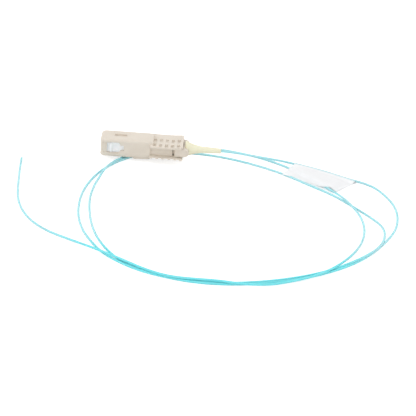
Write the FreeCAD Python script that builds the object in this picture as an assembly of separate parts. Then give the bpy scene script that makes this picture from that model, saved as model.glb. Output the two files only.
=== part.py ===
import FreeCAD, Part
import math
import os

V = FreeCAD.Vector

# A fibre pigtail: a square push-pull connector, its boot, three loose loops of buffered fibre and a folded label.
# Millimetres. X runs along the connector from its mating end to its rear, Y across it, Z up.
# The origin is on the axis at the front end of the ferrule's guide cylinder.

# Ferrule and the fibre inside it
ferrule_r = 1.25
ferrule_free = 7.0
ferrule_tip = 0.5
ferrule_tip_r = 0.85
ferrule_seat = 3.0
ferrule_seat_step = 0.2
glass_r = 0.0625
glass_clearance = 0.01
funnel_length = 0.9
buffer_r = 0.45
buffer_clearance = 0.05
buffer_end_gap = 1.3

# Ferrule flange and its tail
collar_r = 2.35
collar_length = 1.6
collar_key_width = 0.9
collar_key_depth = 0.55
tail_r = 1.5
tail_length = 6.0
nipple_r = 0.7
nipple_length = 2.4
press_clearance = 0.01

# Guide tube on the flange's tail
tube_wall = 0.25
tube_length = 18.0
tube_room = 1.6

# Spring between the flange and the stop ring
spring_wire_r = 0.2
spring_wire_sides = 6
spring_mean_r = 1.85
spring_turns = 5
spring_length = 5.4

# Plug frame
frame_width = 6.8
frame_height = 5.5
frame_edge_r = 0.4
frame_lead = 0.7
frame_length = 17.0
chamber_r = 2.45
shoulder_r = 2.0
shoulder_length = 0.6
catch_start = 2.7
catch_length = 0.8
catch_height = 3.8
catch_reach = 0.55
side_pocket_length = 2.6
side_pocket_height = 3.4
side_pocket_depth = 0.35
mouth_chamfer = 0.25

# Coupling sleeve: shell
sleeve_lead = 1.1
shell_length = 19.5
shell_width = 9.0
shell_height = 7.4
shell_edge_r = 0.9
shell_front_r = 1.8
frame_clearance = 0.1
throat_start = 18.9
belly_start = 12.8
belly_drop = 0.3
belly_lead = 0.2
belly_inset = 0.15

# Coupling sleeve: side windows
window_start = 2.6
window_length = 5.4
window_height = 4.3
window_corner = 0.8
neck_length = 1.3
neck_height = 2.2
channel_start = 1.0
channel_height = 4.3
channel_depth = 0.3
rim_start = 3.5
rim_height = 5.0
rim_length = 4.2
rim_depth = 0.3
window_rise = 0.2

# Coupling sleeve: recess on top
recess_start = 5.4
recess_length = 4.7
recess_width = 2.1
recess_depth = 0.6

# Coupling sleeve: waist and grip wings
wing_drop = 1.1
wing_width = 12.2
wing_length = 12.8
wing_thickness = 0.8
wing_corner_r = 1.6
wing_edge_r = 0.2
flare_length = 4.6
flare_rise = 0.5
waist_width = 7.3
waist_length = 8.7
rib_length = 0.6
rib_height = 0.15
grip_columns = 5
grip_pitch = 2.34
grip_first = 1.72
grip_slot_length = 1.2
pocket_width = 2.8
pocket_depth = 0.55
side_row_start = 3.2
side_row_wall = 0.5
notch_depth = 0.4

# Stop ring
stop_width = 6.2
stop_edge_r = 0.6
stop_clearance = 0.1
spigot_clearance = 0.03
stop_bore_r = 1.75
barrel_r = 1.9
barrel_length = 2.0
passage_r = 1.05
block_width = 9.4
block_gap = 0.85
block_edge_r = 0.25
arm_setback = 0.1
arm_clearance = 0.1

# Strain boot
boot_base_r = 3.0
boot_base_length = 0.5
boot_flare_r = 2.4
boot_flare_length = 2.0
boot_neck_r = 1.78
boot_neck_length = 3.9
boot_shoulder_r = 1.35
boot_shoulder_length = 6.0
boot_tip_r = 1.0
boot_length = 14.1
boot_edge_r = 0.3
boot_clearance = 0.03
boot_gap = 0.7

# Fibre cord: its start inside the boot and how high the axis lies above the cord that rests on the floor
cord_start = 39.0
axis_lift = 4.7

# Label: one film folded over the strands
film_thickness = 0.12
film_gap = 1.3
label_corner = (75.6, 3.2)
label_angle = -27.0
label_length = 26.7
label_left_width = 13.4
label_right_width = 13.5
label_left_skew = 1.1
label_right_skew = 1.75

# Places along X that several pieces share
sleeve_front = -sleeve_lead
frame_front = -frame_lead
frame_rear = frame_front + frame_length
flange_front = ferrule_free
collar_rear = flange_front + collar_length
ferrule_rear = flange_front + ferrule_seat
ferrule_seat_r = ferrule_r - ferrule_seat_step
tail_rear = collar_rear + tail_length
nipple_rear = tail_rear + nipple_length
tube_rear = tail_rear + tube_length
spring_seat = collar_rear + spring_length
wing_start = sleeve_front + shell_length
wing_end = wing_start + wing_length
waist_rear = wing_start + waist_length
block_front = waist_rear + block_gap
stop_rear = wing_end + boot_gap
arm_root = stop_rear - arm_setback
barrel_rear = stop_rear + barrel_length
boot_tip = stop_rear + boot_length

# Heights and half widths that several pieces share
cavity_width = frame_width + 2 * frame_clearance
cavity_height = frame_height + 2 * frame_clearance
wing_top = shell_height / 2 - wing_drop
throat_height = 2 * (wing_top - wing_thickness)
stop_height = throat_height - 2 * stop_clearance
throat_width = stop_width + 3 * stop_clearance
floor_z = -axis_lift - buffer_r

# The cord's route: X, Y, and how high the cord lies above the floor it rests on
cord_points = [
    (cord_start, 0.0, axis_lift), (49.0, 0.0, axis_lift), (56.5, 1.2, 3.3), (64.6, 2.4, 1.75), (71.4, 3.6, 0.5),
    (78.8, 0.7, 0.3), (87.7, -3.9, 0.3), (95.7, -8.0, 0.3), (104.9, -12.5, 0), (111.6, -20.5, 0),
    (115.1, -31.2, 0), (115.0, -43.7, 0), (111.1, -56.8, 0), (104.0, -69.4, 0), (93.6, -81.5, 0),
    (79.6, -91.7, 0), (63.1, -98.0, 0), (45.5, -100.3, 0), (29.2, -97.0, 0), (14.9, -89.8, 0),
    (4.5, -77.9, 0), (-2.1, -63.4, 0), (-4.8, -48.1, 0), (-4.8, -32.9, 0), (-1.7, -18.5, 0), (5.5, -6.8, 0),
    (14.1, 2.1, 0), (25.2, 5.9, 0), (37.1, 6.2, 0), (48.2, 4.2, 0), (59.7, -0.4, 0), (70.6, -6.8, 0.2),
    (81.2, -13.4, 0.2), (90.3, -21.6, 0.1), (98.4, -31.6, 0), (105.8, -40.1, 0), (109.7, -49.7, 0),
    (106.9, -61.8, 0), (99.6, -73.0, 0), (89.2, -83.2, 0), (75.8, -91.5, 0), (60.3, -97.0, 0),
    (44.3, -98.7, 0), (29.4, -95.5, 0), (16.9, -89.0, 0), (7.8, -77.6, 0), (2.5, -64.0, 0),
    (-0.4, -50.1, 0), (-1.2, -36.4, 0), (-0.7, -23.9, 0.3), (1.2, -15.9, 1.2), (3.9, -9.0, 1.15),
    (8.0, -1.9, 0), (17.8, 8.0, 0), (29.1, 11.8, 0), (40.9, 12.2, 0), (52.1, 10.0, 0), (63.1, 5.8, 0),
    (73.0, -1.3, 0.2), (82.5, -9.7, 0.2), (89.7, -17.3, 0.2), (94.0, -24.2, 0.75), (98.8, -32.7, 1.3),
    (102.1, -43.5, 0), (101.9, -55.6, 0), (97.9, -68.4, 0), (89.9, -80.0, 0), (77.5, -88.5, 0),
    (62.0, -94.7, 0), (45.4, -97.3, 0), (30.9, -94.4, 0), (21.0, -89.8, 0.6), (13.3, -86.0, 1.3),
    (3.6, -80.7, 1.3), (-4.2, -74.8, 0), (-13.2, -69.3, 0), (-21.0, -62.0, 0), (-25.9, -51.6, 0),
    (-28.6, -39.3, 0), (-29.9, -25.8, 0), (-31.0, -9.3, 0),
]


def save(shape, node):
    os.makedirs("parts", exist_ok=True)
    shape = shape.removeSplitter()
    shape.exportStep("parts/" + node + ".step")
    print(node, "solids", len(shape.Solids), "volume %.3f" % shape.Volume)


def block(x0, x1, y0, y1, z0, z1):
    return Part.makeBox(x1 - x0, y1 - y0, z1 - z0, V(x0, y0, z0))


def bar(x0, x1, width, height):
    return block(x0, x1, -width / 2, width / 2, -height / 2, height / 2)


def rod(radius, x0, x1):
    return Part.makeCylinder(radius, x1 - x0, V(x0, 0, 0), V(1, 0, 0))


def turned(profile):
    """A solid turned about the X axis from (x, radius) points."""
    corners = [V(x, 0, r) for x, r in profile]
    face = Part.Face(Part.makePolygon(corners + corners[:1]))
    return face.revolve(V(0, 0, 0), V(1, 0, 0), 360)


def prism(corners, travel):
    """A polygon pushed along a vector."""
    return Part.Face(Part.makePolygon(corners + corners[:1])).extrude(travel)


def edges_along_x(shape):
    return [e for e in shape.Edges if abs(e.tangentAt(e.FirstParameter).x) > 0.999]


def edges_at(shape, axis, value):
    """The edges whose every point has the given coordinate."""
    near = 1e-6
    found = []
    for edge in shape.Edges:
        low = getattr(edge.BoundBox, axis + "Min")
        high = getattr(edge.BoundBox, axis + "Max")
        if abs(low - value) < near and abs(high - value) < near:
            found.append(edge)
    return found


def rounded_bar(x0, x1, width, height, radius):
    shape = bar(x0, x1, width, height)
    return shape.makeFillet(radius, edges_along_x(shape))


def make_ferrule():
    body = turned([
        (-ferrule_tip, 0),
        (-ferrule_tip, ferrule_tip_r),
        (0, ferrule_r),
        (flange_front, ferrule_r),
        (flange_front, ferrule_seat_r),
        (ferrule_rear, ferrule_seat_r),
        (ferrule_rear, 0),
    ])
    bore_r = glass_r + glass_clearance
    bore = rod(bore_r, -ferrule_tip, ferrule_rear)
    funnel = Part.makeCone(bore_r, buffer_r, funnel_length, V(ferrule_rear - funnel_length, 0, 0), V(1, 0, 0))
    return body.cut(bore).cut(funnel)


def make_flange():
    body = rod(collar_r, flange_front, collar_rear)
    body = body.fuse(rod(tail_r, collar_rear, tail_rear))
    body = body.fuse(rod(nipple_r, tail_rear, nipple_rear))
    body = body.cut(rod(ferrule_seat_r + press_clearance, flange_front, ferrule_rear))
    body = body.cut(rod(buffer_r + buffer_clearance, flange_front, nipple_rear))
    key = block(
        flange_front, collar_rear,
        -collar_key_width / 2, collar_key_width / 2,
        collar_r - collar_key_depth, collar_r + collar_key_depth,
    )
    for quarter in range(4):
        slot = key.copy()
        slot.rotate(V(0, 0, 0), V(1, 0, 0), 90 * quarter)
        body = body.cut(slot)
    return body


def make_guide_tube():
    bore_r = nipple_r + press_clearance
    outside = rod(bore_r + tube_wall, tail_rear, tube_rear)
    return outside.cut(rod(bore_r, tail_rear, tube_rear))


def make_fibre_end():
    glass = rod(glass_r, -ferrule_tip, ferrule_rear)
    buffer = rod(buffer_r, ferrule_rear, cord_start - buffer_end_gap)
    return glass.fuse(buffer)


def make_spring():
    coil_start = collar_rear + spring_wire_r
    coil_length = spring_length - 2 * spring_wire_r
    helix = Part.makeHelix(coil_length / spring_turns, coil_length, spring_mean_r)
    wire = Part.Wire(helix.Edges)
    # the wire's section is a polygon in the XZ plane, where the helix starts
    angles = [2 * math.pi * i / spring_wire_sides for i in range(spring_wire_sides)]
    corners = [
        V(spring_mean_r + spring_wire_r * math.cos(a), 0, spring_wire_r * math.sin(a)) for a in angles
    ]
    section = Part.makePolygon(corners + corners[:1])
    coil = wire.makePipeShell([section], True, True)
    coil.rotate(V(0, 0, 0), V(0, 1, 0), 90)
    coil.translate(V(coil_start, 0, 0))
    return coil


def make_plug_frame():
    body = rounded_bar(frame_front, frame_rear, frame_width, frame_height, frame_edge_r)
    body = body.cut(rod(chamber_r, frame_front, flange_front - shoulder_length))
    body = body.cut(rod(shoulder_r, frame_front, flange_front))
    body = body.cut(rod(chamber_r, flange_front, frame_rear))
    mouth = Part.makeCone(
        chamber_r + mouth_chamfer, chamber_r, mouth_chamfer, V(frame_front, 0, 0), V(1, 0, 0)
    )
    body = body.cut(mouth)
    side = frame_width / 2
    catch_rear = catch_start + catch_length
    pocket_rear = catch_rear + side_pocket_length
    for way in (-1, 1):
        # a wedge with a ramp towards the mating end, and the pocket behind it
        wedge = prism([
            V(catch_start - catch_reach, way * side, -catch_height / 2),
            V(catch_start, way * (side + catch_reach), -catch_height / 2),
            V(catch_rear, way * (side + catch_reach), -catch_height / 2),
            V(catch_rear, way * side, -catch_height / 2),
        ], V(0, 0, catch_height))
        body = body.fuse(wedge)
        pocket_y = sorted([way * (side - side_pocket_depth), way * (side + catch_reach)])
        pocket = block(
            catch_rear, pocket_rear, pocket_y[0], pocket_y[1],
            -side_pocket_height / 2, side_pocket_height / 2,
        )
        body = body.cut(pocket)
    return body


def make_stop_ring():
    spigot = rod(chamber_r - spigot_clearance, spring_seat, frame_rear)
    waist = rounded_bar(frame_rear, stop_rear, stop_width, stop_height, stop_edge_r)
    barrel = rod(barrel_r, stop_rear, barrel_rear)
    body = spigot.fuse(waist).fuse(make_stop_block()).fuse(barrel)
    body = body.cut(rod(stop_bore_r, spring_seat, frame_rear))
    return body.cut(rod(passage_r, frame_rear, barrel_rear))


def make_stop_block():
    """The wide block behind the sleeve's waist, whose round-ended arms reach back beside the boot."""
    half = block_width / 2
    radius = stop_height / 2
    body = block(block_front, arm_root, -half, half, -radius, radius)
    body = body.fuse(Part.makeCylinder(radius, block_width, V(arm_root, -half, 0), V(0, 1, 0))).removeSplitter()
    outlines = edges_at(body, "Y", -half) + edges_at(body, "Y", half)
    body = body.makeFillet(block_edge_r, outlines)
    between = boot_base_r + arm_clearance
    return body.cut(block(stop_rear, stop_rear + radius, -between, between, -stop_height, stop_height))


def make_boot():
    shoulder = stop_rear + boot_shoulder_length
    body = turned([
        (stop_rear, 0),
        (stop_rear, boot_base_r - boot_edge_r),
        (stop_rear + boot_edge_r, boot_base_r),
        (stop_rear + boot_base_length, boot_base_r),
        (stop_rear + boot_flare_length, boot_flare_r),
        (stop_rear + boot_neck_length, boot_neck_r),
        (shoulder, boot_shoulder_r),
        (boot_tip, boot_tip_r),
        (boot_tip, 0),
    ])
    body = body.makeFillet(boot_edge_r, edges_at(body, "X", boot_tip))
    body = body.cut(rod(barrel_r + boot_clearance, stop_rear, barrel_rear + boot_clearance))
    # room for the guide tube, which moves back with the ferrule
    body = body.cut(rod(passage_r, stop_rear, tube_rear + tube_room))
    body = body.cut(rod(buffer_r + buffer_clearance, stop_rear, boot_tip))
    return body


def make_shell():
    """The sleeve's front half: a rounded box with a lower belly, side windows and a recess on top."""
    rear = sleeve_front + shell_length
    half = shell_height / 2
    shell = bar(sleeve_front, rear, shell_width, shell_height)
    corners = [e for e in edges_at(shell, "X", sleeve_front) if abs(e.tangentAt(e.FirstParameter).z) > 0.999]
    shell = shell.makeFillet(shell_front_r, corners)
    rims = [e for e in edges_at(shell, "Z", half) + edges_at(shell, "Z", -half) if e.BoundBox.XMin < rear - 1e-6]
    shell = shell.makeFillet(shell_edge_r, rims)
    front = sleeve_front + belly_start
    side = shell_width / 2 - belly_inset
    belly = prism([
        V(front, -side, -half + shell_edge_r),
        V(front + belly_lead, -side, -half - belly_drop),
        V(rear, -side, -half),
        V(rear, -side, -half + shell_edge_r),
    ], V(0, 2 * side, 0))
    # on top the shell reaches back over the wing, up to the first pockets
    crown_rear = rear + grip_first - grip_slot_length / 2
    crown = rounded_bar(front, crown_rear, shell_width, shell_height, shell_edge_r)
    crown = crown.common(block(front, crown_rear, -shell_width, shell_width, wing_top - wing_thickness, shell_height))
    shell = shell.fuse(belly).fuse(crown)
    for way in (-1, 1):
        shell = shell.cut(make_side_recesses(way))
    recess = block(
        sleeve_front + recess_start, sleeve_front + recess_start + recess_length,
        -recess_width / 2, recess_width / 2, half - recess_depth, half + recess_depth,
    )
    return shell.cut(recess).cut(make_window())


def make_window():
    """One cutter for both side windows: a tall opening that narrows to a neck."""
    front = sleeve_front + window_start
    rear = front + window_length
    high = window_height / 2
    low = neck_height / 2
    outline = [
        (front, -high), (rear - window_corner, -high), (rear, -high + window_corner), (rear, -low),
        (rear + neck_length, -low), (rear + neck_length, low), (rear, low),
        (rear, high - window_corner), (rear - window_corner, high), (front, high),
    ]
    corners = [V(x, -shell_width, z + window_rise) for x, z in outline]
    return prism(corners, V(0, 2 * shell_width, 0))


def make_side_recesses(way):
    """The channel ahead of a window and the rim round it."""
    front = sleeve_front + window_start
    outer = way * shell_width

    def sunk(x0, x1, z0, z1, depth):
        y = sorted([way * (shell_width / 2 - depth), outer])
        return block(x0, x1, y[0], y[1], z0 + window_rise, z1 + window_rise)

    channel_front = sleeve_front + channel_start
    rim_front = sleeve_front + rim_start
    channel = sunk(channel_front, front, -channel_height / 2, channel_height / 2, channel_depth)
    rim = sunk(rim_front, rim_front + rim_length, -rim_height / 2, rim_height / 2, rim_depth)
    return channel.fuse(rim)


def flare_at(x):
    """How far the wings have bent outwards at a place along X."""
    radius = (flare_length ** 2 + flare_rise ** 2) / (2 * flare_rise)
    past = max(x - (wing_end - flare_length), 0)
    return radius - math.sqrt(radius ** 2 - past ** 2)


def make_wing_plate():
    """The upper wing's plate, bent outwards towards its rounded rear corners."""
    half = wing_width / 2
    bend = wing_end - flare_length
    middle = (bend + wing_end) / 2
    inside = wing_top - wing_thickness

    def at(x, z):
        return V(x, -half, z + flare_at(x))

    profile = Part.Wire([
        Part.LineSegment(at(wing_start, inside), at(bend, inside)).toShape(),
        Part.Arc(at(bend, inside), at(middle, inside), at(wing_end, inside)).toShape(),
        Part.LineSegment(at(wing_end, inside), at(wing_end, wing_top)).toShape(),
        Part.Arc(at(wing_end, wing_top), at(middle, wing_top), at(bend, wing_top)).toShape(),
        Part.LineSegment(at(bend, wing_top), at(wing_start, wing_top)).toShape(),
        Part.LineSegment(at(wing_start, wing_top), at(wing_start, inside)).toShape(),
    ])
    plate = Part.Face(profile).extrude(V(0, wing_width, 0))
    corners = [
        e for e in edges_at(plate, "X", wing_end) if abs(e.tangentAt(e.FirstParameter).z) > 0.999
    ]
    plate = plate.makeFillet(wing_corner_r, corners)
    across = edges_at(plate, "X", wing_start) + edges_at(plate, "X", bend)
    rims = [
        e for e in plate.Edges
        if e.BoundBox.ZMin > wing_top - 1e-6 and not any(e.isSame(other) for other in across)
    ]
    return plate.makeFillet(wing_edge_r, rims)


def make_wing(ways, side_depth, side_end):
    """A grip wing, as the upper one lies: a middle row of pockets, and a side row on each of the given sides."""
    plate = make_wing_plate()
    for column in range(grip_columns):
        middle = wing_start + grip_first + column * grip_pitch
        x0 = middle - grip_slot_length / 2
        x1 = middle + grip_slot_length / 2
        top = wing_top + flare_at(middle)
        above = top + wing_thickness
        plate = plate.cut(block(x0, x1, -pocket_width / 2, pocket_width / 2, top - pocket_depth, above))
        for way in ways:
            y = sorted([way * side_row_start, way * side_end])
            plate = plate.cut(block(x0, x1, y[0], y[1], top - side_depth, above))
    return plate


def make_sleeve():
    shell = make_shell()
    waist = bar(wing_start, waist_rear, waist_width, throat_height + wing_thickness)
    rib = bar(waist_rear - rib_length, waist_rear, waist_width + 2 * rib_height, throat_height + wing_thickness)
    # the upper wing's side row is closed at the edge, the lower wing's side rows are open there
    upper = make_wing([-1], pocket_depth, wing_width / 2 - side_row_wall)
    lower = make_wing([-1, 1], notch_depth, wing_width).mirror(V(0, 0, 0), V(0, 0, 1))
    body = shell.fuse(waist).fuse(rib).fuse(upper).fuse(lower)
    throat = sleeve_front + throat_start
    body = body.cut(rounded_bar(sleeve_front, throat, cavity_width, cavity_height, frame_edge_r))
    return body.cut(rounded_bar(throat, wing_end, throat_width, throat_height, stop_edge_r / 2))


def make_cord():
    """A round cord along straight runs joined by the largest tangent arcs that the runs allow."""
    share = 0.45
    route = [V(x, y, lift - axis_lift) for x, y, lift in cord_points]
    runs = [(b - a).Length for a, b in zip(route, route[1:])]
    edges = []
    radii = []
    reached = route[0]
    for i in range(1, len(route) - 1):
        back = (route[i - 1] - route[i]).normalize()
        ahead = (route[i + 1] - route[i]).normalize()
        turn = math.pi - back.getAngle(ahead)
        trim = share * min(runs[i - 1], runs[i])
        radius = trim / math.tan(turn / 2)
        inward = (back + ahead).normalize()
        middle = route[i] + inward * (radius / math.cos(turn / 2) - radius)
        begin = route[i] + back * trim
        finish = route[i] + ahead * trim
        edges.append(Part.LineSegment(reached, begin).toShape())
        edges.append(Part.Arc(begin, middle, finish).toShape())
        radii.append(radius)
        reached = finish
    edges.append(Part.LineSegment(reached, route[-1]).toShape())
    path = Part.Wire(edges)
    section = Part.Wire(Part.Circle(route[0], route[1] - route[0], buffer_r).toShape())
    cord = path.makePipeShell([section], True, False)
    print("cord radii", " ".join("%.0f" % r for r in radii))
    print("cord length %.1f" % path.Length, "section times length %.2f" % (path.Length * math.pi * buffer_r ** 2))
    return cord


def make_label():
    """A film folded once, open towards the near side, with the strands between its two layers."""
    height = film_gap + 2 * film_thickness
    outer_r = height / 2
    inner_r = film_gap / 2
    width = max(label_left_width, label_right_width)
    fold = Part.makeCylinder(outer_r, label_length, V(0, outer_r, outer_r), V(1, 0, 0))
    layers = block(0, label_length, outer_r, width, 0, height)
    inside = Part.makeCylinder(inner_r, label_length, V(0, outer_r, outer_r), V(1, 0, 0))
    between = block(0, label_length, outer_r, width, film_thickness, film_thickness + film_gap)
    outline = prism([
        V(0, 0, 0),
        V(label_length, 0, 0),
        V(label_length - label_right_skew, label_right_width, 0),
        V(label_left_skew, label_left_width, 0),
    ], V(0, 0, height))
    label = fold.fuse(layers).cut(inside).cut(between).common(outline)
    # the label is drawn with its near side towards +Y, so it is turned over end for end into place
    label = label.mirror(V(0, 0, 0), V(0, 1, 0))
    label.rotate(V(0, 0, 0), V(0, 0, 1), label_angle)
    label.translate(V(label_corner[0], label_corner[1], floor_z))
    return label


save(make_ferrule(), "ferrule")
save(make_flange(), "ferrule_flange")
save(make_guide_tube(), "guide_tube")
save(make_fibre_end(), "fibre_end")
save(make_spring(), "ferrule_spring")
save(make_plug_frame(), "plug_frame")
save(make_stop_ring(), "stop_ring")
save(make_boot(), "strain_boot")
save(make_sleeve(), "coupling_sleeve")
save(make_cord(), "fibre_cord")
save(make_label(), "marker_label")
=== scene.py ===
import math
import bmesh
import bpy
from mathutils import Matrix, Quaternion, Vector


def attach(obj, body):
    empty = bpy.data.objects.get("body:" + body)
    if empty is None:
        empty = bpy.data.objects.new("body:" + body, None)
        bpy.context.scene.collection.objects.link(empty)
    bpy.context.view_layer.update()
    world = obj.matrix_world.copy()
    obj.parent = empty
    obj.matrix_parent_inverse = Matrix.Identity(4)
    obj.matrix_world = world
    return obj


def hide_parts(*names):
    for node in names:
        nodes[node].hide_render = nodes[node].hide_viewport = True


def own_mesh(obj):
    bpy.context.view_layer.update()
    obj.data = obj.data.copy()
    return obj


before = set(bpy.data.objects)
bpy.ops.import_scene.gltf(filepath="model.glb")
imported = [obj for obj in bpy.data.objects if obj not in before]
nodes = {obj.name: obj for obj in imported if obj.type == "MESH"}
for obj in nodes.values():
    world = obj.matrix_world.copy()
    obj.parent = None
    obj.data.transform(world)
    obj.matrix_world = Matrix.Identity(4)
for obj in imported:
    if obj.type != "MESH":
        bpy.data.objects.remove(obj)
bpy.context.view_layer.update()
print("frame loaded:", len(nodes), "nodes")

mm = 0.001


# Materials

def startMaterial(name):
    material = bpy.data.materials.new(name)
    material.use_nodes = True
    tree = material.node_tree
    shader = tree.nodes["Principled BSDF"]
    return material, tree, shader


def addNode(tree, kind, **values):
    node = tree.nodes.new(kind)
    for key, value in values.items():
        if hasattr(node, key):
            setattr(node, key, value)
        else:
            node.inputs[key].default_value = value
    return node


def mathNode(tree, operation, *values):
    # each value is a number or a socket
    node = addNode(tree, "ShaderNodeMath", operation=operation)
    for socket, value in zip(node.inputs, values):
        if isinstance(value, (int, float)):
            socket.default_value = value
        else:
            tree.links.new(value, socket)
    return node.outputs["Value"]


def easedRange(tree, low, high, atLow, atHigh):
    # eases from one result at low to another at high
    ease = addNode(tree, "ShaderNodeMapRange", interpolation_type="SMOOTHSTEP")
    ease.inputs["From Min"].default_value = low
    ease.inputs["From Max"].default_value = high
    ease.inputs["To Min"].default_value = atLow
    ease.inputs["To Max"].default_value = atHigh
    return ease


def objectNoise(tree, scale, detail=3.0, roughness=0.55):
    # a noise on object coordinates, scale in waves per metre
    place = addNode(tree, "ShaderNodeTexCoord")
    noise = addNode(tree, "ShaderNodeTexNoise", Scale=scale, Detail=detail, Roughness=roughness)
    tree.links.new(place.outputs["Object"], noise.inputs["Vector"])
    return noise


def tintBetween(tree, shader, noise, darkColor, lightColor, low=0.35, high=0.65):
    ramp = addNode(tree, "ShaderNodeValToRGB")
    ramp.color_ramp.elements[0].position = low
    ramp.color_ramp.elements[0].color = (*darkColor, 1)
    ramp.color_ramp.elements[1].position = high
    ramp.color_ramp.elements[1].color = (*lightColor, 1)
    tree.links.new(noise.outputs["Fac"], ramp.inputs["Fac"])
    tree.links.new(ramp.outputs["Color"], shader.inputs["Base Color"])
    return ramp


def tintToward(tree, shader, ramp, share, color):
    # the ramp's colour gives way to another colour by the share that a socket gives
    mix = addNode(tree, "ShaderNodeMix", data_type="RGBA")
    colorIn = [socket for socket in mix.inputs if socket.type == "RGBA"]
    colorOut = [socket for socket in mix.outputs if socket.type == "RGBA"]
    tree.links.new(share, mix.inputs["Factor"])
    tree.links.new(ramp.outputs["Color"], colorIn[0])
    colorIn[1].default_value = (*color, 1)
    tree.links.new(colorOut[0], shader.inputs["Base Color"])


def roughnessFrom(tree, shader, noise, low, high):
    spread = addNode(tree, "ShaderNodeMapRange")
    spread.inputs["To Min"].default_value = low
    spread.inputs["To Max"].default_value = high
    tree.links.new(noise.outputs["Fac"], spread.inputs["Value"])
    tree.links.new(spread.outputs["Result"], shader.inputs["Roughness"])


def bumpFrom(tree, shader, noise, depth, strength):
    bump = addNode(tree, "ShaderNodeBump", Strength=strength, Distance=depth)
    tree.links.new(noise.outputs["Fac"], bump.inputs["Height"])
    tree.links.new(bump.outputs["Normal"], shader.inputs["Normal"])


def scatterInside(shader, weight, body):
    # light that goes in and comes out again, by the share that weight gives
    shader.inputs["IOR"].default_value = body["ior"]
    shader.inputs["Subsurface Weight"].default_value = weight
    shader.inputs["Subsurface Radius"].default_value = body["radius"]
    shader.inputs["Subsurface Scale"].default_value = body["scale"]


plasticBody = {"ior": 1.49, "radius": (1.2 * mm, 1.0 * mm, 0.8 * mm), "scale": 0.5}


def mouldedPlastic(name, spec):
    # a moulded skin: slow colour drift, spark-eroded grain in the bump and the gloss
    material, tree, shader = startMaterial(name)
    drift = objectNoise(tree, spec["driftScale"], detail=2.0)
    grain = objectNoise(tree, spec["grainScale"], detail=4.0, roughness=0.6)
    tintBetween(tree, shader, drift, spec["dark"], spec["light"])
    roughnessFrom(tree, shader, grain, spec["glossy"], spec["matte"])
    bumpFrom(tree, shader, grain, spec["grainDepth"], spec["grainStrength"])
    scatterInside(shader, spec["subsurface"], plasticBody)
    return material


beigeSkin = {
    "dark": (0.705, 0.634, 0.545), "light": (0.735, 0.666, 0.577), "driftScale": 140, "grainScale": 5200,
    "glossy": 0.42, "matte": 0.58, "grainDepth": 0.02 * mm, "grainStrength": 0.35, "subsurface": 0.05,
}
whiteSkin = {
    "dark": (0.905, 0.925, 0.945), "light": (0.93, 0.945, 0.962), "driftScale": 180, "grainScale": 4200,
    "glossy": 0.28, "matte": 0.40, "grainDepth": 0.012 * mm, "grainStrength": 0.25, "subsurface": 0.08,
}
bootSkin = {
    "dark": (0.83, 0.80, 0.595), "light": (0.86, 0.835, 0.635), "driftScale": 160, "grainScale": 3800,
    "glossy": 0.48, "matte": 0.66, "grainDepth": 0.02 * mm, "grainStrength": 0.3, "subsurface": 0.12,
}
tubeSkin = {
    "dark": (0.82, 0.82, 0.80), "light": (0.86, 0.86, 0.84), "driftScale": 300, "grainScale": 3000,
    "glossy": 0.22, "matte": 0.34, "grainDepth": 0.01 * mm, "grainStrength": 0.2, "subsurface": 0.2,
}
ceramicSkin = {
    "dark": (0.85, 0.85, 0.83), "light": (0.88, 0.88, 0.865), "driftScale": 500, "grainScale": 9000,
    "glossy": 0.10, "matte": 0.16, "grainDepth": 0.003 * mm, "grainStrength": 0.15, "subsurface": 0.06,
}


bufferBody = {"ior": 1.5, "radius": (0.3 * mm, 0.8 * mm, 0.8 * mm), "scale": 0.6}


def aquaBuffer(name, spec):
    # extruded buffer: a slow drift along the strand and faint draw lines
    # painted shade: its colour turns a more saturated aqua towards -Y, where the strands lie bundled,
    # standing in for the shade and bounced light between them
    material, tree, shader = startMaterial(name)
    drift = objectNoise(tree, spec["driftScale"], detail=2.0)
    lines = objectNoise(tree, spec["lineScale"])
    ramp = tintBetween(tree, shader, drift, spec["dark"], spec["light"])
    place = addNode(tree, "ShaderNodeTexCoord")
    parts = addNode(tree, "ShaderNodeSeparateXYZ")
    # painted shade: the saturated aqua is mixed in over the bundled stretch
    paintedShadeShare = easedRange(tree, spec["paintedShadeTo"], spec["paintedShadeFrom"], 1, 0)
    tree.links.new(place.outputs["Object"], parts.inputs["Vector"])
    tree.links.new(parts.outputs["Y"], paintedShadeShare.inputs["Value"])
    tintToward(tree, shader, ramp, paintedShadeShare.outputs["Result"], spec["paintedBundleShade"])
    roughnessFrom(tree, shader, lines, spec["glossy"], spec["matte"])
    bumpFrom(tree, shader, lines, spec["lineDepth"], spec["lineStrength"])
    scatterInside(shader, spec["subsurface"], bufferBody)
    shader.inputs["Specular IOR Level"].default_value = spec["shine"]
    return material


# the saturated bundle aqua below is painted shade
aquaSkin = {
    "dark": (0.39, 0.735, 0.785), "light": (0.43, 0.765, 0.815), "paintedBundleShade": (0.21, 0.765, 0.82),
    "paintedShadeFrom": -64 * mm, "paintedShadeTo": -82 * mm, "driftScale": 90, "lineScale": 6000,
    "glossy": 0.34, "matte": 0.46, "lineDepth": 0.008 * mm, "lineStrength": 0.3,
    "subsurface": 0.5, "shine": 0.3,
}


def turnedMetal(name, spec):
    # a turned or drawn metal: fine noise in the gloss and the bump, drawn out into rings by the stretch
    material, tree, shader = startMaterial(name)
    place = addNode(tree, "ShaderNodeTexCoord")
    squeeze = addNode(tree, "ShaderNodeMapping")
    squeeze.inputs["Scale"].default_value = spec["stretch"]
    rings = addNode(tree, "ShaderNodeTexNoise", Scale=spec["ringScale"], Detail=spec["ringDetail"])
    tree.links.new(place.outputs["Object"], squeeze.inputs["Vector"])
    tree.links.new(squeeze.outputs["Vector"], rings.inputs["Vector"])
    tintBetween(tree, shader, rings, spec["dark"], spec["light"])
    roughnessFrom(tree, shader, rings, spec["glossy"], spec["matte"])
    bumpFrom(tree, shader, rings, spec["ringDepth"], spec["ringStrength"])
    shader.inputs["Metallic"].default_value = 1.0
    return material


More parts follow.
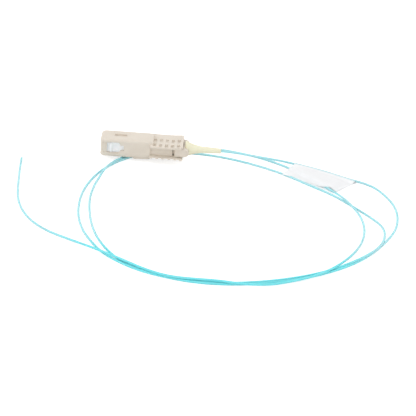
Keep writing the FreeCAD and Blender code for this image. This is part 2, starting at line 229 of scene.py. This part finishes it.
flangeSkin = {
    "dark": (0.58, 0.57, 0.54), "light": (0.68, 0.67, 0.64), "stretch": (1, 0.05, 0.05), "ringScale": 9000,
    "ringDetail": 3.0, "glossy": 0.22, "matte": 0.36, "ringDepth": 0.004 * mm, "ringStrength": 0.3,
}
springSkin = {
    "dark": (0.46, 0.46, 0.47), "light": (0.57, 0.57, 0.58), "stretch": (1, 1, 1), "ringScale": 4000,
    "ringDetail": 3.0, "glossy": 0.25, "matte": 0.4, "ringDepth": 0.003 * mm, "ringStrength": 0.3,
}


filmBody = {"ior": 1.5, "radius": (1.0 * mm, 1.0 * mm, 1.0 * mm), "scale": 0.6}


def labelFilm(name, spec):
    # a thin white film, a little cloudy, that lets some light through
    # painted see-through: the strand in the fold is painted onto the film as a pale aqua line, found by the
    # UV map's V
    material, tree, shader = startMaterial(name)
    clouds = objectNoise(tree, spec["cloudScale"])
    fibres = objectNoise(tree, spec["grainScale"], detail=4.0)
    ramp = tintBetween(tree, shader, clouds, spec["dark"], spec["light"])
    roughnessFrom(tree, shader, fibres, spec["glossy"], spec["matte"])
    bumpFrom(tree, shader, fibres, spec["grainDepth"], spec["grainStrength"])
    layout = addNode(tree, "ShaderNodeUVMap", uv_map="film")
    parts = addNode(tree, "ShaderNodeSeparateXYZ")
    tree.links.new(layout.outputs["UV"], parts.inputs["Vector"])
    fromStrand = mathNode(tree, "SUBTRACT", parts.outputs["Y"], spec["strandAt"])
    paintedSeeThroughShare = easedRange(tree, spec["strandHalf"], spec["strandFade"], 1, 0)
    tree.links.new(mathNode(tree, "ABSOLUTE", fromStrand), paintedSeeThroughShare.inputs["Value"])
    tintToward(tree, shader, ramp, paintedSeeThroughShare.outputs["Result"], spec["paintedSeeThroughTint"])
    scatterInside(shader, spec["subsurface"], filmBody)
    shader.inputs["Alpha"].default_value = spec["cover"]
    return material


filmSkin = {
    "dark": (0.950, 0.957, 0.974), "light": (0.965, 0.971, 0.986), "cloudScale": 110, "grainScale": 2600,
    "glossy": 0.32, "matte": 0.46, "grainDepth": 0.01 * mm, "grainStrength": 0.3,
    "subsurface": 0.25, "cover": 0.97,
    # the strand tint below is the painted see-through of the strand in the fold
    "strandAt": 0.574, "strandHalf": 0.012, "strandFade": 0.045, "paintedSeeThroughTint": (0.58, 0.82, 0.86),
}

beigeMaterial = mouldedPlastic("beige_housing", beigeSkin)
whiteMaterial = mouldedPlastic("white_frame", whiteSkin)
bootMaterial = mouldedPlastic("pale_boot", bootSkin)
tubeMaterial = mouldedPlastic("tube_plastic", tubeSkin)
ceramicMaterial = mouldedPlastic("ferrule_ceramic", ceramicSkin)
aquaMaterial = aquaBuffer("aqua_buffer", aquaSkin)
flangeMaterial = turnedMetal("flange_metal", flangeSkin)
springMaterial = turnedMetal("spring_steel", springSkin)
filmMaterial = labelFilm("label_film", filmSkin)
print("materials ready")


# Rigid pieces: the moulded ones are CAD solids with their edges broken, the inner ones stay as they are

def addObject(name, data):
    made = bpy.data.objects.new(name, data)
    bpy.context.scene.collection.objects.link(made)
    return made


def asPlainMesh(piece):
    # the evaluated shape takes the modifiers' place
    seen = bpy.context.evaluated_depsgraph_get()
    made = bpy.data.meshes.new_from_object(piece.evaluated_get(seen))
    piece.modifiers.clear()
    piece.data = made


def shadeByAngle(mesh, degrees):
    mesh.polygons.foreach_set("use_smooth", [True] * len(mesh.polygons))
    mesh.set_sharp_from_angle(angle=math.radians(degrees))
    mesh.update()


def softenedCopy(nodeName, pieceName, body, material, spec):
    mesh = nodes[nodeName].data.copy()
    mesh.name = pieceName
    shape = bmesh.new()
    shape.from_mesh(mesh)
    bmesh.ops.remove_doubles(shape, verts=shape.verts, dist=spec["mergeWithin"])
    bmesh.ops.dissolve_limit(
        shape, angle_limit=math.radians(spec["flatWithin"]), verts=shape.verts, edges=shape.edges
    )
    shape.to_mesh(mesh)
    shape.free()
    mesh.materials.clear()
    mesh.materials.append(material)
    piece = addObject(pieceName, mesh)
    bevel = piece.modifiers.new("brokenEdges", "BEVEL")
    bevel.width = spec["edge"]
    bevel.segments = spec["edgeSteps"]
    bevel.limit_method = "ANGLE"
    bevel.angle_limit = math.radians(spec["sharpOver"])
    asPlainMesh(piece)
    shadeByAngle(piece.data, spec["smoothUnder"])
    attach(piece, body)
    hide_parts(nodeName)
    print("piece", pieceName, "faces", len(piece.data.polygons))


edgeSpec = {
    "mergeWithin": 0.0004 * mm, "flatWithin": 0.6, "edge": 0.07 * mm, "edgeSteps": 2, "sharpOver": 38,
    "smoothUnder": 32,
}

softenedCopy("coupling_sleeve", "sleeve_skin", "sleeve", beigeMaterial, edgeSpec)
softenedCopy("plug_frame", "plug_skin", "connector", whiteMaterial, edgeSpec)
softenedCopy("stop_ring", "stop_skin", "connector", beigeMaterial, edgeSpec)
softenedCopy("strain_boot", "boot_skin", "connector", bootMaterial, edgeSpec)

for nodeName, material in (
    ("ferrule", ceramicMaterial),
    ("ferrule_flange", flangeMaterial),
    ("guide_tube", tubeMaterial),
    ("fibre_end", aquaMaterial),
):
    nodes[nodeName].data.materials.clear()
    nodes[nodeName].data.materials.append(material)
print("rigid pieces dressed")


# Spring: round wire with a closed coil at each end

springSpec = {
    "front": 8.63, "rear": 13.98, "seat": 14.0, "travel": 1.0, "meanRadius": 1.85, "wireRadius": 0.2,
    "turns": 7, "closedTurns": 1, "closedPitch": 0.41, "stepsPerTurn": 32, "wireSides": 12,
}


def springTree(sizes):
    # a round wire swept along a spiral about X, whose turns close up at both ends
    tree = bpy.data.node_groups.new("wound_spring", "GeometryNodeTree")
    tree.is_modifier = True
    for label, value in sizes.items():
        kind = "NodeSocketInt" if isinstance(value, int) else "NodeSocketFloat"
        tree.interface.new_socket(name=label, in_out="INPUT", socket_type=kind)
    tree.interface.new_socket(name="Geometry", in_out="OUTPUT", socket_type="NodeSocketGeometry")
    given = addNode(tree, "NodeGroupInput").outputs
    spiral = addNode(tree, "GeometryNodeCurveSpiral", Height=0)
    tree.links.new(given["Steps Per Turn"], spiral.inputs["Resolution"])
    tree.links.new(given["Turns"], spiral.inputs["Rotations"])
    tree.links.new(given["Mean Radius"], spiral.inputs["Start Radius"])
    tree.links.new(given["Mean Radius"], spiral.inputs["End Radius"])

    along = addNode(tree, "GeometryNodeSplineParameter").outputs["Factor"]
    turn = mathNode(tree, "MULTIPLY", along, given["Turns"])
    openPart = mathNode(tree, "MAXIMUM", mathNode(tree, "SUBTRACT", turn, given["Closed Turns"]), 0)
    openPart = mathNode(tree, "MINIMUM", openPart, given["Open Turns"])
    closedPart = mathNode(tree, "SUBTRACT", turn, openPart)
    place = mathNode(tree, "MULTIPLY_ADD", openPart, given["Open Pitch"], given["First Coil"])
    place = mathNode(tree, "MULTIPLY_ADD", closedPart, given["Closed Pitch"], place)
    flat = addNode(tree, "ShaderNodeSeparateXYZ")
    wound = addNode(tree, "ShaderNodeCombineXYZ")
    tree.links.new(addNode(tree, "GeometryNodeInputPosition").outputs["Position"], flat.inputs["Vector"])
    tree.links.new(place, wound.inputs["X"])
    tree.links.new(flat.outputs["X"], wound.inputs["Y"])
    tree.links.new(flat.outputs["Y"], wound.inputs["Z"])
    lay = addNode(tree, "GeometryNodeSetPosition")
    tree.links.new(spiral.outputs["Curve"], lay.inputs["Geometry"])
    tree.links.new(wound.outputs["Vector"], lay.inputs["Position"])

    section = addNode(tree, "GeometryNodeCurvePrimitiveCircle")
    tree.links.new(given["Wire Sides"], section.inputs["Resolution"])
    tree.links.new(given["Wire Radius"], section.inputs["Radius"])
    sweep = addNode(tree, "GeometryNodeCurveToMesh")
    sweep.inputs["Fill Caps"].default_value = True
    smooth = addNode(tree, "GeometryNodeSetShadeSmooth")
    realize = addNode(tree, "GeometryNodeRealizeInstances")
    finish = addNode(tree, "GeometryNodeSetMaterial", Material=springMaterial)
    output = addNode(tree, "NodeGroupOutput")
    tree.links.new(lay.outputs["Geometry"], sweep.inputs["Curve"])
    tree.links.new(section.outputs["Curve"], sweep.inputs["Profile Curve"])
    tree.links.new(sweep.outputs["Mesh"], smooth.inputs["Geometry"])
    tree.links.new(smooth.outputs["Geometry"], realize.inputs["Geometry"])
    tree.links.new(realize.outputs["Geometry"], finish.inputs["Geometry"])
    tree.links.new(finish.outputs["Geometry"], output.inputs["Geometry"])
    return tree


def makeSpring(spec):
    openTurns = spec["turns"] - 2 * spec["closedTurns"]
    firstCoil = spec["front"] + spec["wireRadius"]
    rise = spec["rear"] - spec["wireRadius"] - firstCoil
    sizes = {
        "Turns": float(spec["turns"]),
        "Closed Turns": float(spec["closedTurns"]),
        "Open Turns": float(openTurns),
        "Open Pitch": (rise - 2 * spec["closedTurns"] * spec["closedPitch"]) / openTurns * mm,
        "Closed Pitch": spec["closedPitch"] * mm,
        "First Coil": firstCoil * mm,
        "Mean Radius": spec["meanRadius"] * mm,
        "Wire Radius": spec["wireRadius"] * mm,
        "Steps Per Turn": spec["stepsPerTurn"],
        "Wire Sides": spec["wireSides"],
    }
    tree = springTree(sizes)
    coil = addObject("spring_coil", bpy.data.meshes.new("spring_coil"))
    winding = coil.modifiers.new("winding", "NODES")
    winding.node_group = tree
    for socket in tree.interface.items_tree:
        if socket.in_out == "INPUT":
            winding[socket.identifier] = sizes[socket.name]
    asPlainMesh(coil)
    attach(coil, "connector")
    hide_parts("ferrule_spring")
    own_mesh(coil)
    print("spring wound with", spec["turns"], "turns and", len(coil.data.polygons), "faces")


makeSpring(springSpec)


# Fibre cord: X, Y and lift above the floor in millimetres, from inside the boot to the bare tail

cordSpec = {
    "radius": 0.45, "axisLift": 4.7, "exitX": 46.0, "length": 1.007,
    "order": 3, "curveSteps": 10, "roundSteps": 3,
}
floorLevel = -(cordSpec["axisLift"] + cordSpec["radius"])  # millimetres from the connector's axis
cordPoints = [
    (39, 0, 4.7), (49, 0, 4.7), (56.5, 1.2, 3.3), (64.6, 2.4, 1.8), (71.4, 3.6, 0.5), (78.9, 0.9, 0.2),
    (88.1, -3.1, 0.2), (96.1, -7.4, 0.2), (105.2, -11.3, 0), (110.4, -19.6, 0), (113.7, -28.6, 0),
    (114.5, -38.2, 0), (113.3, -47.7, 0), (109.9, -56.7, 0), (105.7, -65.1, 0), (100.3, -73.2, 0),
    (93.8, -80, 0), (86.2, -85.9, 0), (78, -90.8, 0), (69.2, -94.5, 0), (60, -97.2, 0), (50.5, -98.6, 0),
    (40.9, -98.5, 0), (31.5, -96.3, 0), (22.6, -93.2, 0), (14.5, -88, 0), (7.4, -81.3, 0), (2.7, -73.4, 0),
    (-1.3, -64.9, 0), (-3.7, -55.3, 0), (-4.7, -45.5, 0), (-4.5, -35.5, 0), (-2.9, -25.7, 0), (0.2, -15.9, 0),
    (5.4, -7, 0), (14.1, 2.1, 0), (25.2, 5.9, 0), (37.1, 6.2, 0), (48.2, 4.2, 0), (59.7, -0.4, 0),
    (70.6, -6.8, 0.2), (80.4, -15, 0.2), (90.1, -22.1, 0.1), (98.4, -31.6, 0), (103.3, -37.4, 0),
    (109, -45.8, 0), (109.2, -55.7, 0.4), (106.3, -65.3, 0.9), (100, -73.6, 0.9), (93, -79.7, 0.3),
    (85.1, -85.3, 0), (76.6, -90, 0), (67.6, -93.7, 0), (58.3, -96.4, 0), (48.7, -97.8, 0), (38.9, -97.3, 0),
    (29.5, -94.9, 0), (20.6, -91, 0), (13.1, -85, 0), (7.8, -76.9, 0), (3.9, -68, 0), (1.3, -58.6, 0),
    (-0.3, -49, 0), (-1.2, -39.5, 0), (-0.7, -29, 0), (0.3, -23.9, 0.3), (2, -16, 1.3), (4.6, -8.4, 0.9),
    (8.7, -1.3, 0.1), (17.8, 8, 0), (29.1, 11.8, 0), (40.9, 12.2, 0), (52.1, 10, 0), (63.1, 5.8, 0),
    (73, -1.3, 0.2), (82.5, -9.7, 0.2), (88.2, -16.7, 0), (92.9, -24.3, 1.1), (97.3, -32, 1),
    (100.8, -40.3, 0.3), (101.9, -49.2, 0), (101, -58.1, 0), (98.5, -66.7, 0.2), (94.8, -74.9, 0.6),
    (90.2, -82.5, 1), (83.9, -89, 0.9), (75.7, -92.6, 0), (67.8, -96.8, 0.2), (59.1, -99.1, 1),
    (50.2, -97.7, 1), (41.4, -97.7, 0.9), (32.6, -97.2, 0.9), (24.1, -93.4, 0.9), (16.1, -87.9, 1),
    (8.4, -83.3, 1.2), (1.4, -77.7, 0.4), (-6.3, -72.7, 0), (-13.7, -68.2, 0), (-20, -61.8, 0),
    (-24.5, -54, 0), (-27.3, -45.5, 0), (-28.7, -36.7, 0), (-29.5, -27.8, 0), (-30.4, -19, 0), (-31, -9.3, 0),
]


def makeCord(spec, points):
    curve = bpy.data.curves.new("fibre_strand", "CURVE")
    curve.dimensions = "3D"
    curve.resolution_u = spec["curveSteps"]
    curve.bevel_depth = spec["radius"] * mm
    curve.bevel_resolution = spec["roundSteps"]
    curve.use_fill_caps = True
    line = curve.splines.new("NURBS")
    line.points.add(len(points) - 1)
    for point, (x, y, lift) in zip(line.points, points):
        point.co = (x * mm, y * mm, (lift - spec["axisLift"]) * mm, 1)
    line.order_u = spec["order"]
    line.use_endpoint_u = True
    curve.materials.append(aquaMaterial)
    return addObject("fibre_strand", curve)


strand = makeCord(cordSpec, cordPoints)
print("cord laid with", len(cordPoints), "points")


# Label: a white film folded over three strands and open on the near side

labelSpec = {
    "corner": (75.6, 3.2), "angle": -27.0, "length": 26.7, "film": 0.12, "foldRadius": 0.71,
    "bow": 0.9, "bowStart": 0.2, "lowWidth": 13.45, "lowTrim": 2.0, "lowSkews": (1.1, 3.3),
    "topWidth": 11.9, "cornerReach": 1.1, "cornerShare": 0.22, "topSkews": (0.7, 2.5),
    "foldWidth": 0.8, "restHeight": 0.22, "reach": 1.3, "bridge": 7.5, "blend": 3,
    "ripple": 0.04, "rippleRate": 0.19, "rippleStart": 2.0,
    "alongSteps": 56, "layerSteps": 26, "foldSteps": 10,
}
# the strands that hold the upper layer up: places along and across the film, top height, where the hold ends
strandsUnder = [
    {"track": ((0, 0.8), (26.7, 0.8)), "top": 1.14, "heldTo": 30.0, "freeFrom": 31.0},
    {"track": ((0, 5.4), (5.9, 6.8), (12.0, 8.55), (16.9, 10.1), (21.5, 11.95), (25.4, 14.0)), "top": 1.26,
     "heldTo": 20.5, "freeFrom": 24.0},
    {"track": ((0, 11.3), (3.0, 12.1), (6.3, 12.7), (12.5, 13.9)), "top": 1.22,
     "heldTo": 3.0, "freeFrom": 6.5},
]


def unitSteps(count):
    return [i / count for i in range(count + 1)]


def between(first, last, share):
    return first + (last - first) * share


def easeDown(share):
    # 1 at a share of 0, eased to 0 at a share of 1
    share = min(max(share, 0), 1)
    return 1 - share * share * (3 - 2 * share)


def trackAcross(track, s):
    for (s0, t0), (s1, t1) in zip(track, track[1:]):
        if s <= s1:
            return between(t0, t1, (s - s0) / (s1 - s0))
    return track[-1][1]


def topHeight(spec, s, t):
    # the upper layer rides over each strand, bridges back to the one before and falls off after the last
    total = 0
    for strandUnder in strandsUnder:
        gap = t - trackAcross(strandUnder["track"], s)
        gap /= spec["bridge"] if gap < 0 else spec["reach"]
        loose = (s - strandUnder["heldTo"]) / (strandUnder["freeFrom"] - strandUnder["heldTo"])
        raised = (strandUnder["top"] - spec["restHeight"]) * easeDown(loose) * math.exp(-gap * gap)
        total += raised ** spec["blend"]
    ripple = math.sin(spec["rippleRate"] * s + spec["rippleStart"]) * math.sin(math.pi * t / spec["topWidth"])
    return spec["restHeight"] + total ** (1 / spec["blend"]) + spec["ripple"] * ripple


def makeLabel(spec):
    turn = math.radians(spec["angle"])
    along = Vector((math.cos(turn), math.sin(turn), 0))
    across = Vector((math.sin(turn), -math.cos(turn), 0))
    corner = Vector((*spec["corner"], floorLevel))
    fold = spec["foldRadius"]
    bottom = spec["film"] / 2

    def alongFilm(u, t, share):
        # share is 0 on the lower layer and 1 on the upper one
        width = between(spec["lowWidth"], spec["topWidth"], share)
        left = between(spec["lowSkews"][0], spec["topSkews"][0], share)
        right = between(spec["lowSkews"][1], spec["topSkews"][1], share)
        begin = left * t / width
        finish = spec["length"] - right * t / width
        bow = (spec["bowStart"] - spec["bow"] * math.sin(math.pi * u)) * (1 - t / width)
        ear = spec["cornerReach"] * share * easeDown(u / spec["cornerShare"]) * t / width
        trim = spec["lowTrim"] * (1 - share) * (1 - u) * t / width
        return between(begin, finish, u), t + bow + ear - trim

    def place(u, t, z, share):
        s, shifted = alongFilm(u, t, share)
        return (corner + along * s + across * shifted + Vector((0, 0, z))) * mm

    rows = []
    for step in unitSteps(spec["layerSteps"]):
        t = between(spec["lowWidth"], fold, step)
        rows.append([place(u, t, bottom, 0) for u in unitSteps(spec["alongSteps"])])
    for share in unitSteps(spec["foldSteps"])[1:-1]:
        swing = math.pi * share
        row = []
        for u in unitSteps(spec["alongSteps"]):
            half = (topHeight(spec, alongFilm(u, fold, 1)[0], fold) - bottom) / 2
            row.append(place(u, fold * (1 - math.sin(swing)), bottom + half * (1 - math.cos(swing)), share))
        rows.append(row)
    for step in unitSteps(spec["layerSteps"]):
        t = between(fold, spec["topWidth"], step)
        row = []
        for u in unitSteps(spec["alongSteps"]):
            row.append(place(u, t, topHeight(spec, alongFilm(u, t, 1)[0], t), 1))
        rows.append(row)

    shape = bmesh.new()
    layout = shape.loops.layers.uv.new("film")
    grid = [[shape.verts.new(spot) for spot in row] for row in rows]
    for j in range(len(grid) - 1):
        for i in range(len(grid[0]) - 1):
            face = shape.faces.new((grid[j][i], grid[j][i + 1], grid[j + 1][i + 1], grid[j + 1][i]))
            face.smooth = True
            for loop, (di, dj) in zip(face.loops, ((0, 0), (1, 0), (1, 1), (0, 1))):
                loop[layout].uv = ((i + di) / (len(grid[0]) - 1), (j + dj) / (len(grid) - 1))
    bmesh.ops.recalc_face_normals(shape, faces=shape.faces)
    mesh = bpy.data.meshes.new("label_film")
    shape.to_mesh(mesh)
    shape.free()
    mesh.materials.append(filmMaterial)
    piece = addObject("label_film", mesh)
    wall = piece.modifiers.new("filmWall", "SOLIDIFY")
    wall.thickness = spec["film"] * mm
    wall.offset = 0
    asPlainMesh(piece)
    return piece


label = makeLabel(labelSpec)
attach(label, "connector")
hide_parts("marker_label")

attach(strand, "connector")
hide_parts("fibre_cord")
print("label folded over the strands")


# Stage, light and camera

def seenRays(tree):
    # 1 on the rays that show the background itself: camera, glossy and transmission rays
    path = addNode(tree, "ShaderNodeLightPath").outputs
    seen = mathNode(tree, "MAXIMUM", path["Is Camera Ray"], path["Is Glossy Ray"])
    return mathNode(tree, "MAXIMUM", seen, path["Is Transmission Ray"])


floorSpec = {"half": 3.0, "color": (0.72, 0.72, 0.72), "lift": 0.64}


def makeFloor(spec):
    floorZ = floorLevel * mm
    half = spec["half"]
    mesh = bpy.data.meshes.new("paper_floor")
    corners = [(-half, -half, floorZ), (half, -half, floorZ), (half, half, floorZ), (-half, half, floorZ)]
    mesh.from_pydata(corners, [], [(0, 1, 2, 3)])
    material = bpy.data.materials.new("white_paper")
    material.use_nodes = True
    tree = material.node_tree
    tree.nodes.clear()
    paper = addNode(tree, "ShaderNodeBsdfDiffuse", Color=(*spec["color"], 1))
    glow = addNode(tree, "ShaderNodeEmission", Color=(1, 1, 1, 1))
    both = addNode(tree, "ShaderNodeAddShader")
    output = addNode(tree, "ShaderNodeOutputMaterial")
    tree.links.new(mathNode(tree, "MULTIPLY", seenRays(tree), spec["lift"]), glow.inputs["Strength"])
    tree.links.new(paper.outputs["BSDF"], both.inputs[0])
    tree.links.new(glow.outputs["Emission"], both.inputs[1])
    tree.links.new(both.outputs["Shader"], output.inputs["Surface"])
    mesh.materials.append(material)
    floor = addObject("paper_floor", mesh)


tentSpec = {"skySeen": 1.0, "wallLight": 1.47, "roofLight": 0.30, "wallTop": 0.45, "roofFrom": 0.75}


def makeTent(spec):
    # a light tent: bright walls all round up to wallTop, a dimmer roof, both plain white where they are seen
    world = bpy.data.worlds.new("light_tent")
    bpy.context.scene.world = world
    world.use_nodes = True
    tree = world.node_tree
    sky = tree.nodes["Background"]
    sky.inputs["Color"].default_value = (1, 1, 1, 1)
    facing = addNode(tree, "ShaderNodeTexCoord")
    parts = addNode(tree, "ShaderNodeSeparateXYZ")
    wall = easedRange(tree, spec["wallTop"], spec["roofFrom"], spec["wallLight"], spec["roofLight"])
    level = addNode(tree, "ShaderNodeMapRange")
    level.inputs["To Max"].default_value = spec["skySeen"]
    tree.links.new(facing.outputs["Generated"], parts.inputs["Vector"])
    tree.links.new(parts.outputs["Z"], wall.inputs["Value"])
    tree.links.new(wall.outputs["Result"], level.inputs["To Min"])
    tree.links.new(seenRays(tree), level.inputs["Value"])
    tree.links.new(level.outputs["Result"], sky.inputs["Strength"])


lampSpec = {"name": "soft_sun", "strength": 1.1, "spread": 70, "from": (-0.20, 0.05, 1.0)}


def makeLamp(spec):
    lamp = bpy.data.lights.new(spec["name"], "SUN")
    lamp.energy = spec["strength"]
    lamp.angle = math.radians(spec["spread"])
    sun = addObject(spec["name"], lamp)
    sun.rotation_mode = "QUATERNION"
    sun.rotation_quaternion = Vector(spec["from"]).to_track_quat("Z", "Y")


cameraSpec = {
    "place": (61.56, -700.04, 328.39), "target": (43.31, -39.78, -5.15), "fieldOfView": 12.0, "roll": 3.492,
    "clipStart": 0.01, "clipEnd": 20,
}


def makeCamera(spec):
    lens = bpy.data.cameras.new("photo_camera")
    lens.angle = math.radians(spec["fieldOfView"])
    lens.clip_start = spec["clipStart"]
    lens.clip_end = spec["clipEnd"]
    camera = addObject("photo_camera", lens)
    place = Vector(spec["place"]) * mm
    target = Vector(spec["target"]) * mm
    camera.location = place
    camera.rotation_mode = "QUATERNION"
    roll = Quaternion((0, 0, 1), math.radians(spec["roll"]))
    camera.rotation_quaternion = (target - place).to_track_quat("-Z", "Y") @ roll
    bpy.context.scene.camera = camera


makeFloor(floorSpec)
makeTent(tentSpec)
makeLamp(lampSpec)
makeCamera(cameraSpec)
bpy.context.scene.view_settings.view_transform = "Standard"
print("stage, light and camera set")
